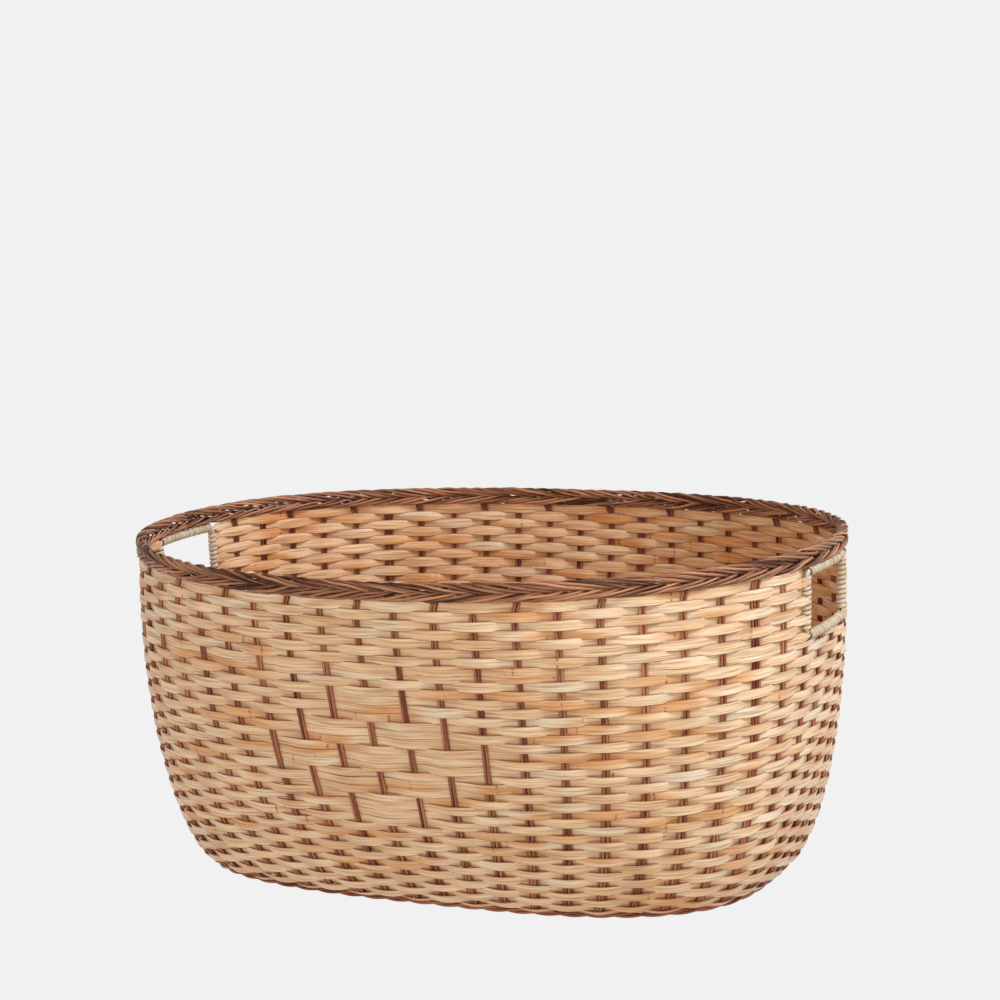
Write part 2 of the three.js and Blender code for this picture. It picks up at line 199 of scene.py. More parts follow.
class Wall:
    """Curved wall, by rows up it and by share of the way round it.

    The way round starts at the left end and runs by the front, the right end and the back.
    """

    def __init__(self, size):
        self.size = size
        self.rows = size.ring_rows + size.handle_rows
        self.height = np.linspace(0, 1, WALL_LEVELS) ** 2
        end = mix(size.base_length, size.rim_length, bulge(self.height, size.end_bulge)) / 2
        side = mix(size.base_width, size.rim_width, bulge(self.height, size.side_bulge)) / 2
        square = mix(size.base_squareness, size.rim_squareness, self.height)
        self.z = mix(size.foot_height, size.wall_top, self.height)
        out = (np.diff(end) + np.diff(side)) / 2
        self.run = summed(np.hypot(out, np.diff(self.z)))
        self.pitch = (self.run[-1] - size.row_start) / self.rows
        self.foot_row = -size.row_start / self.pitch
        angle = np.linspace(0, math.pi / 2, QUARTER_STEPS)
        cosine = np.clip(np.cos(angle), 0, 1)
        sine = np.clip(np.sin(angle), 0, 1)
        shares = np.linspace(0, 1, QUARTER_PARTS)
        self.x = np.empty((WALL_LEVELS, QUARTER_PARTS))
        self.y = np.empty((WALL_LEVELS, QUARTER_PARTS))
        for i in range(WALL_LEVELS):
            x = end[i] * cosine ** (2 / square[i])
            y = side[i] * sine ** (2 / square[i])
            way = summed(np.hypot(np.diff(x), np.diff(y)))
            self.x[i] = np.interp(shares * way[-1], way, x)
            self.y[i] = np.interp(shares * way[-1], way, y)
        self.round = 4 * way[-1]
        self.half_handle = size.handle_width / 2 / self.round

    def point(self, row, place):
        """Points of the wall's middle."""
        row, place = np.broadcast_arrays(np.asarray(row, float), np.asarray(place, float))
        way = self.size.row_start + row * self.pitch
        level = np.interp(way, self.run, np.arange(WALL_LEVELS))
        turn = (place % 1.0) * 4
        quarter = np.minimum(3, np.floor(turn)).astype(int)
        part = turn - quarter
        part = np.where(quarter % 2 == 0, part, 1 - part) * (QUARTER_PARTS - 1)
        i = np.clip(np.floor(level).astype(int), 0, WALL_LEVELS - 2)
        j = np.clip(np.floor(part).astype(int), 0, QUARTER_PARTS - 2)
        up, on = level - i, part - j

        def read(grid):
            low = mix(grid[i, j], grid[i, j + 1], on)
            high = mix(grid[i + 1, j], grid[i + 1, j + 1], on)
            return mix(low, high, up)

        x = np.where((quarter == 0) | (quarter == 3), -1, 1) * read(self.x)
        y = np.where(quarter < 2, -1, 1) * read(self.y)
        height = mix(self.height[i], self.height[i + 1], up)
        rise = self.size.end_rise * height * (2 * x / self.size.rim_length) ** 2
        z = mix(self.z[i], self.z[i + 1], up) + rise
        return np.stack([x, y, z], -1)

    def axes(self, row, place):
        """Directions along the row, up the wall and out of it."""
        row = np.asarray(row, float)
        along = unit(self.point(row, place + STEP_ROUND) - self.point(row, place - STEP_ROUND))
        above = self.point(np.minimum(row + STEP_ROWS, self.rows), place)
        below = self.point(np.minimum(row, self.rows - STEP_ROWS) - STEP_ROWS, place)
        out = unit(np.cross(along, above - below))
        return along, np.cross(out, along), out

    def ring(self, row, steps):
        """Places all round one row, the points there and the level way out of the wall."""
        place = np.arange(steps) / steps
        rows = np.full(steps, row)
        outward = self.axes(rows, place)[2]
        outward[:, 2] = 0
        return place, self.point(rows, place), unit(outward)


class Stakes:
    """Places of the stakes round the wall, and the side on which each row passes them.

    Two short stakes stand below the middle of each hand opening, and one below each post.
    """

    def __init__(self, wall):
        size = wall.size
        half = wall.half_handle
        front = np.linspace(half, 0.5 - half, size.front_stakes + 2)[1:-1]
        back = np.linspace(0.5 + half, 1 - half, size.back_stakes + 2)[1:-1]
        right = [0.5 - half, 0.5 - half / 3, 0.5 + half / 3, 0.5 + half]
        self.places = np.array([half / 3, half, *front, *right, *back, 1 - half, 1 - half / 3])
        self.count = len(self.places)
        self.front = (2, 1 + size.front_stakes)
        self.back = (6 + size.front_stakes, 5 + size.front_stakes + size.back_stakes)
        self.middle = 2 + size.front_stakes // 2

    def tall(self, stake):
        """True if the stake runs up to the border and not only to a hand opening."""
        return any(first <= stake <= last for first, last in (self.front, self.back))

    def side(self, row, stake):
        """One where the row passes outside the stake, minus one where it passes inside."""
        tier = (row - FIGURE_ROW) // FIGURE_TIER_ROWS
        off = stake - self.middle
        if 0 <= tier < len(FIGURE_REACH) and abs(off) <= FIGURE_REACH[tier]:
            return -1 if (off + FIGURE_REACH[tier]) % 2 == 0 else 1
        return 1 if (row + stake) % 2 == 0 else -1


# Strands

# Unevenness of handwork: how many waves are added up, how their lengths spread, and their usual sum
DRIFT_WAVES = 5
DRIFT_SPREAD = (0.4, 1.6)
DRIFT_SUM = 2.2


def drift(way, random, waves, size):
    """Slow unevenness of handwork along a strand."""
    total = np.zeros_like(way, dtype=float)
    for _ in range(DRIFT_WAVES):
        count = random.uniform(*DRIFT_SPREAD) * waves
        total += np.sin(2 * math.pi * (count * way + random.random()))
    return total * size / DRIFT_SUM


# Domed section of a strip: shares of its half width and of its thickness
STRIP_PROFILE = np.array([
    (-1.0, 0.1), (-0.9, 0.38), (0.0, 0.5), (0.9, 0.38), (1.0, 0.1),
    (1.0, -0.2), (0.88, -0.42), (0.0, -0.5), (-0.88, -0.42), (-1.0, -0.2),
])

# Half width at which the fibres of a strand are drawn, in metres
STRIP_HALF = 0.004

# Painted shade in the recesses of strips fades between these heights, in metres, so it is darker lower
# down: by how much, the share of that on the inner face, and the depth of a recess that would keep all
# its shade
SHADE_HEIGHTS = (0.05, 0.2)
SHADE_NARROW = 0.8
SHADE_INSIDE = 0.6
SHADE_FULL = 1.3

# What the finishes read from a strand: way along, across and its number, how far it is sunk between
# its neighbours and how far it faces into the basket, which both set painted shade
MARKS = (("strand", "FLOAT_VECTOR", "vector"), ("recess", "FLOAT", "value"), ("inner", "FLOAT", "value"))


def strip_section(up, down, thickness):
    """Domed section of a flat strip at each station, from its lower to its upper edge."""
    across = STRIP_PROFILE[:, 0]
    high = np.where(across > 0, across * up[:, None], across * down[:, None])
    return np.stack([high, np.broadcast_to(STRIP_PROFILE[:, 1] * thickness, high.shape)], -1)


def round_section(radius, sides):
    """Section of a round rod."""
    angle = np.arange(sides) * 2 * math.pi / sides
    return np.stack([np.cos(angle), np.sin(angle)], -1) * radius


def strand_faces(points, stations, corners, closed):
    """Sides and end caps of a strand, turned outward."""
    i = np.arange(stations if closed else stations - 1)[:, None] * corners
    j = (i + corners) % (stations * corners)
    k = np.arange(corners)[None]
    n = (k + 1) % corners
    quads = np.stack([i + k, j + k, j + n, i + n], -1).reshape(-1, 4)
    start = list(range(corners - 1, -1, -1))
    end = list(range((stations - 1) * corners, stations * corners))
    caps = [] if closed else [start, end]
    a, b, c, d = (points[quads[:, m]] - points[0] for m in range(4))
    volume = np.einsum("ij,ij->", a, np.cross(b, c)) + np.einsum("ij,ij->", a, np.cross(c, d))
    if volume < 0:
        quads = quads[:, ::-1]
        caps = [cap[::-1] for cap in caps]
    return quads.tolist() + caps


class Skin:
    """Gathers the swept strands of one piece, each a closed skin."""

    def __init__(self):
        self.points, self.faces, self.count = [], [], 0
        self.marks = {name: [] for name, _, _ in MARKS}

    def sweep(self, path, across, outward, section, seed, closed=False, flat=False, recess=0.0):
        """Adds a strand: section holds the across and outward offsets of its corners.

        A flat strand is a strip. A recess below nought lies on its outer face, one above nought
        on its inner face.
        """
        stations, corners = len(path), section.shape[-2]
        section = np.broadcast_to(section, (stations, corners, 2))
        aside, depth = section[..., 0], section[..., 1]
        rings = path[:, None] + across[:, None] * aside[..., None] + outward[:, None] * depth[..., None]
        points = rings.reshape(-1, 3)
        for face in strand_faces(points, stations, corners, closed):
            self.faces.append([index + self.count for index in face])
        self.points.append(points)
        self.count += len(points)

        strand = np.empty((stations, corners, 3))
        strand[..., 0] = summed(np.linalg.norm(np.diff(path, axis=0), axis=1))[:, None]
        strand[..., 1] = (STRIP_PROFILE[:, 0] if flat else aside / np.abs(aside).max()) * STRIP_HALF
        strand[..., 2] = seed
        self.marks["strand"].append(strand.reshape(-1, 3))
        face = np.sign(depth)
        # Recess mask of the painted shade; on strips it narrows higher up the wall
        sunk = np.broadcast_to(-np.asarray(recess, float), (stations,))[:, None] * face
        if flat:
            narrow = np.interp(path[:, 2], SHADE_HEIGHTS, (0, SHADE_NARROW))[:, None]
            narrow = narrow * np.where(face > 0, 1, SHADE_INSIDE)
            sunk = sunk - narrow * (SHADE_FULL - sunk)
        self.marks["recess"].append(np.clip(sunk, -1, 1).ravel())
        # Inner side mask of the painted shade on faces that look into the basket
        self.marks["inner"].append(np.clip(-depth / np.abs(depth).max(), 0, 1).ravel())

    def rod(self, path, face, radius, seed, closed=False, recess=0.0, sides=ROD_SIDES):
        """Adds a round rod, whose outer side looks the way of face."""
        ahead = np.roll(path, -1, 0) - np.roll(path, 1, 0) if closed else np.gradient(path, axis=0)
        heading = unit(ahead)
        across = unit(np.cross(heading, face))
        self.sweep(path, across, np.cross(across, heading), round_section(radius, sides), seed,
                   closed=closed, recess=recess)

    def piece(self, name, material, slot, *nodes, crisp=False):
        """Makes the piece and sets it on the frame in place of its nodes."""
        mesh = bpy.data.meshes.new(name)
        mesh.from_pydata(np.concatenate(self.points).tolist(), [], self.faces)
        mesh.polygons.foreach_set("use_smooth", np.ones(len(mesh.polygons), bool))
        if crisp:
            mesh.set_sharp_from_angle(angle=ROUGH_EDGE)
        for mark, kind, field in MARKS:
            values = np.concatenate(self.marks[mark]).astype(np.float32).ravel()
            mesh.attributes.new(mark, kind, "POINT").data.foreach_set(field, values)
        mesh.materials.append(bpy.data.materials[material])
        piece = bpy.data.objects.new(name, mesh)
        bpy.context.scene.collection.objects.link(piece)
        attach(piece, BODY)
        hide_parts(*nodes)


# Unevenness of a strip, each with its waves in a metre: wander up and down in metres, share of its
# width, and slope across it
STRIP_WANDER = (7, 0.00025)
STRIP_UNEVEN = (9, 0.05)
STRIP_LEAN = (9, 0.07)

# Heights of a strip in rows, above and below its middle: where its neighbour is as far out, where
# it lies outside of its neighbour, and where it lies inside, in the lowest and in the higher rows,
# and how it comes to these heights
HALF_LEVEL = 0.55
HALF_OUTSIDE = 0.6
HALF_INSIDE = (0.95, 0.67)
HALF_INSIDE_ROWS = (3, 14)
EASE_OUTSIDE = 0.45
EASE_INSIDE = (0.45, 0.9)

# How much a strip widens on its way through the wall, outside and inside
SWELL_OUTSIDE = 0.08
SWELL_INSIDE = 0.12


def weave(crossing, side_at, row):
    """Place of a strip between its stakes: in or out, its reach up and down in rows, its recess.

    side_at(n, step) gives the side of crossing n on this row, the next or the one before. The
    recess is minus one where the strip lies inside of both its neighbours, and one where it lies
    outside.
    """
    first = np.floor(crossing).astype(int)
    between = (1 - np.cos(math.pi * (crossing - first))) / 2
    counts, index = np.unique(first, return_inverse=True)

    def swing(step):
        here = np.array([side_at(n, step) for n in counts])[index]
        there = np.array([side_at(n + 1, step) for n in counts])[index]
        return mix(here, there, between)

    def reach(away):
        far = np.where(away < 0, np.interp(row, HALF_INSIDE_ROWS, HALF_INSIDE), HALF_OUTSIDE)
        swell = np.where(away < 0, SWELL_INSIDE, SWELL_OUTSIDE) * (1 - np.abs(away))
        ease = np.where(away < 0, np.interp(row, HALF_INSIDE_ROWS, EASE_INSIDE), EASE_OUTSIDE)
        return HALF_LEVEL + (far - HALF_LEVEL + swell) * np.abs(away) ** ease

    out = swing(0)
    above, below = (out - swing(1)) / 2, (out - swing(-1)) / 2
    recess = np.where(above * below > 0, np.sign(above), 0) * np.abs(above * below)
    return out, reach(above), reach(below), recess


def lay_strip(wall, row, place, way, out, up, down, random):
    """Path, directions and sections of a strip, with the small unevenness of split rattan."""
    size = wall.size
    along, rise, outward = wall.axes(row, place)
    path = wall.point(row, place) + outward * (out * size.strip_swing)[:, None]
    path = path + rise * drift(way, random, *STRIP_WANDER)[:, None]
    wide = wall.pitch * (1 + drift(way, random, *STRIP_UNEVEN))
    section = strip_section(up * wide, down * wide, size.strip_thickness)
    lean = drift(way, random, *STRIP_LEAN)[:, None]
    return path, unit(rise + outward * lean), unit(outward - rise * lean), section


# Finishes

# Noise in the rattan: waves per metre along and across a strand, and the step between strands
BROAD_FIBRES = (24, 560, 17)
THIN_FIBRES = (34, 1500, 31)
SPLITS = (17, 760, 53)
SPECKS = (420, 700, 19)
RING_WOBBLE = (60, 420, 11)
SLOW_TONE = (7, 60, 41)
BLEACHING = (9, 40, 67)
WARM_PATCHES = (6, 40, 23)

# Shares of the broad and of the thin fibres in the tone, and of the broad ones in the ragged line of the
# painted edge shade
TONE_BROAD = 0.6
TONE_THIN = 0.4
RAGGED_EDGE = 0.3

# From where to where each noise or mask fades in, those of a growth ring's scar and glow in metres
SPLIT_FADE = (0.64, 0.71)
SPECK_FADE = (0.7, 0.78)
EDGE_FADE = (0.96, 1.12)
SCAR_FADE = (0.0002, 0.0013)
SCAR_GAPS_FADE = (0.42, 0.6)
GLOW_FADE = (0.002, 0.045)
TONE_FADE = (0.36, 0.64)
BLEACHED_FADE = (0.52, 0.66)
WARM_FADE = (0.54, 0.67)
SHADE_FADE = (0.6, 0.85)
OPEN_FADE = (0.0, 0.5)

# Growth rings: how far they wobble in metres, and the step in place from strand to strand
RING_SHIFT = 0.006
RING_STEP = 37.7

# Fibres: from which to which tone they show, their darkest in red, green and blue, their lightest,
# and how much smoother the light ones are
FIBRE_TONES = (0.36, 0.54)
FIBRE_DARK = (0.64, 0.55, 0.45)
FIBRE_LIGHT = 1.08
FIBRE_SMOOTH = 0.25

# Strength of the bleached patches, the glow round a growth ring, its scar, and the painted shade in
# recesses
BLEACHED_SHARE = 0.6
RING_GLOW = 0.12
SCAR_SHARE = 0.8
RECESS_SHADE = 0.7

# Gloss and relief, the relief's height in metres
SPECULAR = 0.2
COAT_ROUGHNESS = 0.3
BUMP_STRENGTH = 0.5
BUMP_HEIGHT = 0.00025

# Tint of the side that faces into the basket: mostly painted shade of the basket's inside, partly the
# browner colour of the rattan's inner side
STRIP_INSIDE_SHADE = (1.03, 0.94, 0.88)
ROD_INSIDE_SHADE = (0.5, 0.42, 0.38)


class Nodes:
    """Short hand for the nodes and links of one node tree."""

    def __init__(self, tree):
        self.tree = tree

    def add(self, kind, **values):
        node = self.tree.nodes.new(kind)
        for name, value in values.items():
            setattr(node, name, value)
        return node

    def join(self, source, target):
        self.tree.links.new(source, target)

    def set(self, socket, value):
        if isinstance(value, bpy.types.NodeSocket):
            self.join(value, socket)
        else:
            socket.default_value = value

    def group(self, name, **values):
        node = self.add("ShaderNodeGroup", node_tree=bpy.data.node_groups[name])
        for label, value in values.items():
            self.set(node.inputs[label.replace("_", " ")], value)
        return node.outputs

    def attribute(self, name, output):
        node = self.add("ShaderNodeAttribute", attribute_name=name, attribute_type="GEOMETRY")
        return node.outputs[output]

    def parts(self, vector):
        node = self.add("ShaderNodeSeparateXYZ")
        self.join(vector, node.inputs[0])
        return node.outputs

    def math(self, operation, *values):
        node = self.add("ShaderNodeMath", operation=operation)
        for socket, value in zip(node.inputs, values):
            self.set(socket, value)
        return node.outputs[0]

    def scaled(self, vector, scale):
        node = self.add("ShaderNodeVectorMath", operation="MULTIPLY")
        self.set(node.inputs[0], vector)
        self.set(node.inputs[1], scale)
        return node.outputs[0]

    def noise(self, strand, waves, detail=2.0, roughness=0.5):
        node = self.add("ShaderNodeTexNoise", noise_dimensions="3D")
        self.set(node.inputs["Vector"], self.scaled(strand, waves))
        node.inputs["Scale"].default_value = 1.0
        node.inputs["Detail"].default_value = detail
        node.inputs["Roughness"].default_value = roughness
        return node.outputs["Fac"]

    def fade(self, value, low, high, start=0.0, end=1.0, kind="SMOOTHSTEP"):
        node = self.add("ShaderNodeMapRange", clamp=True, interpolation_type=kind)
        labels = ("Value", "From Min", "From Max", "To Min", "To Max")
        for label, entry in zip(labels, (value, low, high, start, end)):
            self.set(node.inputs[label], entry)
        return node.outputs["Result"]

    def blend(self, share, a, b, kind="MIX"):
        node = self.add("ShaderNodeMix", data_type="RGBA", blend_type=kind)
        self.set(node.inputs["Factor"], share)
        self.set(node.inputs["A"], a)
        self.set(node.inputs["B"], b)
        return node.outputs["Result"]

    def cover(self, base, mask, share, tint):
        return self.blend(self.math("MULTIPLY", mask, share), base, (*tint, 1))


def new_group(name, inputs, outputs):
    """Node group with named sockets: its nodes, what goes in and what comes out."""
    group = bpy.data.node_groups.new(name, "ShaderNodeTree")
    for kind, label, default in inputs:
        socket = group.interface.new_socket(label, in_out="INPUT", socket_type=kind)
        if default is not None:
            socket.default_value = default
    for label in outputs:
        group.interface.new_socket(label, in_out="OUTPUT", socket_type="NodeSocketFloat")
    nodes = Nodes(group)
    return nodes, nodes.add("NodeGroupInput").outputs, nodes.add("NodeGroupOutput").inputs


def fibre_group():
    """Fine fibres that run along a strand, and the painted shade along its edges."""
    nodes, given, result = new_group(
        "Rattan fibres",
        [("NodeSocketVector", "Strand", None), ("NodeSocketFloat", "Fineness", 1.0)],
        ["Tone", "Lines", "Specks", "Edge shade", "Height"],
    )
    fine = nodes.add("ShaderNodeCombineXYZ")
    for label, value in (("X", 1.0), ("Y", given["Fineness"]), ("Z", 1.0)):
        nodes.set(fine.inputs[label], value)
    strand = nodes.scaled(given["Strand"], fine.outputs[0])
    broad = nodes.noise(strand, BROAD_FIBRES, 3)
    thin = nodes.noise(strand, THIN_FIBRES)
    tone = nodes.math("ADD", nodes.math("MULTIPLY", broad, TONE_BROAD),
                      nodes.math("MULTIPLY", thin, TONE_THIN))
    nodes.join(tone, result["Tone"])
    nodes.join(nodes.fade(nodes.noise(strand, SPLITS, 1), *SPLIT_FADE), result["Lines"])
    nodes.join(nodes.fade(nodes.noise(strand, SPECKS), *SPECK_FADE), result["Specks"])
    # Painted shade along the strand's edges, where it meets its neighbours, drawn as a ragged line
    off = nodes.math("ABSOLUTE", nodes.parts(given["Strand"])["Y"])
    ragged = nodes.math("ADD", nodes.math("MULTIPLY", off, 1 / STRIP_HALF),
                        nodes.math("MULTIPLY", broad, RAGGED_EDGE))
    nodes.join(nodes.fade(ragged, *EDGE_FADE), result["Edge shade"])
    nodes.join(thin, result["Height"])


def joint_group():
    """Scars of the growth rings, which cross a strand now and then."""
    nodes, given, result = new_group(
        "Rattan growth rings",
        [("NodeSocketVector", "Strand", None), ("NodeSocketFloat", "Rings per metre", 3.0)],
        ["Scar", "Glow"],
    )
    parts = nodes.parts(given["Strand"])
    rough = nodes.noise(given["Strand"], RING_WOBBLE)
    shifted = nodes.math("MULTIPLY_ADD", rough, RING_SHIFT, parts["X"])
    place = nodes.math("ADD", nodes.math("MULTIPLY", shifted, given["Rings per metre"]),
                       nodes.math("MULTIPLY", parts["Z"], RING_STEP))
    cell = nodes.add("ShaderNodeTexVoronoi", voronoi_dimensions="1D", feature="F1")
    cell.inputs["Scale"].default_value = 1.0
    nodes.join(place, cell.inputs["W"])
    near = nodes.math("DIVIDE", cell.outputs["Distance"], given["Rings per metre"])
    line = nodes.math("SUBTRACT", 1.0, nodes.fade(near, *SCAR_FADE))
    nodes.join(nodes.math("MULTIPLY", line, nodes.fade(rough, *SCAR_GAPS_FADE)), result["Scar"])
    nodes.join(nodes.math("SUBTRACT", 1.0, nodes.fade(near, *GLOW_FADE)), result["Glow"])


def strand_material(name, pale, dull, patch, mark, roughness, fineness=1.0, rings=3.0, patches=0.3,
                    lines=0.4, edges=0.0, coat=0.0, bleached=None, shaded=False, inside=None):
    """Rattan: tone that drifts along the strand, glowing patches, fibres and growth rings, and painted
    shade.
    """
    material = bpy.data.materials.new(name)
    material.use_nodes = True
    material.node_tree.nodes.clear()
    nodes = Nodes(material.node_tree)
    output = nodes.add("ShaderNodeOutputMaterial")
    shader = nodes.add("ShaderNodeBsdfPrincipled")
    nodes.join(shader.outputs["BSDF"], output.inputs["Surface"])
    strand = nodes.attribute("strand", "Vector")
    fibres = nodes.group("Rattan fibres", Strand=strand, Fineness=fineness)
    joints = nodes.group("Rattan growth rings", Strand=strand, Rings_per_metre=rings)

    slow = nodes.noise(strand, SLOW_TONE, 3, 0.6)
    base = nodes.blend(nodes.fade(slow, *TONE_FADE), (*dull, 1), (*pale, 1))
    if bleached is not None:
        grey = nodes.fade(nodes.noise(strand, BLEACHING), *BLEACHED_FADE)
        base = nodes.cover(base, grey, BLEACHED_SHARE, bleached)
    glow = nodes.math("MULTIPLY", joints["Glow"], RING_GLOW)
    warm = nodes.math("ADD", nodes.noise(strand, WARM_PATCHES), glow)
    base = nodes.cover(base, nodes.fade(warm, *WARM_FADE), patches, patch)
    tone = nodes.add("ShaderNodeCombineColor")
    for channel, dark in zip(tone.inputs, FIBRE_DARK):
        shade = nodes.fade(fibres["Tone"], *FIBRE_TONES, dark, FIBRE_LIGHT, "LINEAR")
        nodes.join(shade, channel)
    base = nodes.blend(1.0, base, tone.outputs["Color"], "MULTIPLY")
    # Fibre lines and specks are marks of the rattan; the edge mask is painted shade where strands meet
    for mask, share in (("Lines", lines), ("Specks", lines), ("Edge shade", edges)):
        base = nodes.cover(base, fibres[mask], share, mark)
    # Painted shade in the recesses between neighbouring strands, where the coat is also taken off
    if shaded:
        recess = nodes.attribute("recess", "Fac")
        base = nodes.cover(base, nodes.fade(recess, *SHADE_FADE), RECESS_SHADE, mark)
        open_face = nodes.math("SUBTRACT", 1.0, nodes.fade(recess, *OPEN_FADE))
        nodes.join(nodes.math("MULTIPLY", open_face, coat), shader.inputs["Coat Weight"])
    else:
        shader.inputs["Coat Weight"].default_value = coat
    # Painted shade on the faces that look into the basket
    if inside is not None:
        base = nodes.blend(nodes.attribute("inner", "Fac"), base, (*inside, 1), "MULTIPLY")
    scar = nodes.math("MULTIPLY", joints["Scar"], SCAR_SHARE)
    base = nodes.blend(scar, base, (*mark, 1))
    nodes.join(base, shader.inputs["Base Color"])

    rough = nodes.math("MULTIPLY_ADD", fibres["Tone"], -FIBRE_SMOOTH, roughness + FIBRE_SMOOTH / 2)
    nodes.join(rough, shader.inputs["Roughness"])
    shader.inputs["Specular IOR Level"].default_value = SPECULAR
    shader.inputs["Coat Roughness"].default_value = COAT_ROUGHNESS
    bump = nodes.add("ShaderNodeBump")
    bump.inputs["Strength"].default_value = BUMP_STRENGTH
    bump.inputs["Distance"].default_value = BUMP_HEIGHT
    nodes.join(nodes.math("SUBTRACT", fibres["Height"], scar), bump.inputs["Height"])
    nodes.join(bump.outputs["Normal"], shader.inputs["Normal"])


class BASKET_OT_finishes(Operator):
    """Makes the rattan and cane finishes"""

    bl_idname = "basket.finishes"
    bl_label = "Finishes"

    def execute(self, context):
        c = colours()
        fibre_group()
        joint_group()
        # Strips and plait take painted shade in their recesses, all finishes along their edges, strips
        # and rods on their inner side
        strand_material("Straw strips", c.straw_pale, c.straw_tan, c.straw_honey, c.straw_mark_and_shade,
                        roughness=0.55, rings=3.2, patches=0.65, lines=0.5, edges=0.85, coat=0.4,
                        bleached=c.straw_bleached, shaded=True, inside=STRIP_INSIDE_SHADE)
        strand_material("Brown rods", c.rod_light, c.rod_dark_and_shade, c.rod_light, c.rod_dark_and_shade,
                        roughness=0.4, fineness=0.7, rings=5.0, edges=0.5, coat=0.3,
                        inside=ROD_INSIDE_SHADE)
        strand_material("Brown plait", c.border_light, c.border_dark_and_shade, c.border_light, c.border_dark_and_shade,
                        roughness=0.45, fineness=0.7, rings=5.0, edges=0.7, coat=0.12, shaded=True)
        strand_material("Pale cane", c.cane_pale, c.cane_dull, c.straw_pale, c.straw_mark_and_shade,
                        roughness=0.42, rings=6.0, lines=0.25, edges=0.6, coat=0.15)
        return {"FINISHED"}


# Strips below the hand openings

RING_SEED = 100

# Width at which the first strip starts, in rows, and the share of a turn in which the last tapers off
FIRST_WIDTH = 0.25
LAST_TAPER = 0.95

# Gap between the ends of two strips, as a share of the way between two stakes
STRIP_GAP = 0.012

# How far the lowest strip reaches down on to the foot, in rows: in its first turn, how much more as
# it rises after that, and from where to where it stops, in turns
FOOT_REACH = 0.22
FOOT_REACH_GAIN = 0.3
FOOT_REACH_STOP = (0.3, 0.35)


class BASKET_OT_ring_strips(Operator):
    """Weaves the strips that wind up the wall below the hand openings"""

    bl_idname = "basket.ring_strips"
    bl_label = "Ring strips"

    def execute(self, context):
        wall = Wall(sizes())
        stakes = Stakes(wall)
        size = wall.size
        count = stakes.count
        first = math.ceil((LOWEST_ROW + FIRST_WIDTH) * count)
        last = size.ring_rows * count + math.floor(LAST_TAPER * count)
        cuts = [round(mix(first, last, i / size.ring_strips)) for i in range(size.ring_strips + 1)]
        places = np.append(stakes.places, stakes.places[0] + 1)

        def side_at(n, step):
            return stakes.side(min(n // count + step, size.ring_rows), n % count)

        for i in range(size.ring_strips):
            random = np.random.default_rng(RING_SEED + i)
            samples = (cuts[i + 1] - cuts[i]) * STRIP_SAMPLES + 1
            start, end = cuts[i] + 0.5 + STRIP_GAP / 2, cuts[i + 1] + 0.5 - STRIP_GAP / 2
            crossing = np.linspace(start, end, samples)
            n = np.floor(crossing).astype(int)
            stake = n % count
            place = mix(places[stake], places[stake + 1], crossing - n)
            turn = n // count + place
            low = np.clip(turn - 1, LOWEST_ROW, size.ring_rows)
            high = np.clip(turn, LOWEST_ROW, size.ring_rows)
            out, up, down, recess = weave(crossing, side_at, turn)
            share = high - low
            past = turn - LOWEST_ROW - 1
            extra = FOOT_REACH + np.clip(past, 0, FOOT_REACH_GAIN)
            down = down * share + extra * (1 - rising(past, *FOOT_REACH_STOP))
            skin = Skin()
            skin.sweep(*lay_strip(wall, (low + high) / 2, place, turn * wall.round, out, up * share,
                                  down, random), i + 1, flat=True, recess=recess)
            name = f"{i + 1:02d}"
            skin.piece(f"strip_ring_{name}", "Straw strips", "weaver", f"weaver_ring_{name}", crisp=True)
        return {"FINISHED"}


# Strips beside the hand openings

TURNING_SEED = 21

# A strip at a post, by the way from it in shares of the way between two stakes: share of its width,
# where it widens and how fast, and how far off it is pulled on to the post
POST_WIDTH = 0.3
POST_WIDENS = (0.05, 0.2)
POST_EASE = 0.7
POST_PULL = 0.4

# A loose end of a strip: share of its width, and the way over which it widens
TAIL_WIDTH = 0.5
TAIL_LENGTH = 0.3

# A turn round a post: its steps, half its width in rows, and its share of the strip's thickness
TURN_STEPS = 7
TURN_HALF = 0.22
TURN_THICKNESS = 0.6

# How far the turns lie below the cane, in metres
POST_SINK = 0.0001

# What keeps the last crossing of a row short of its post
JUST_SHORT = 1e-6


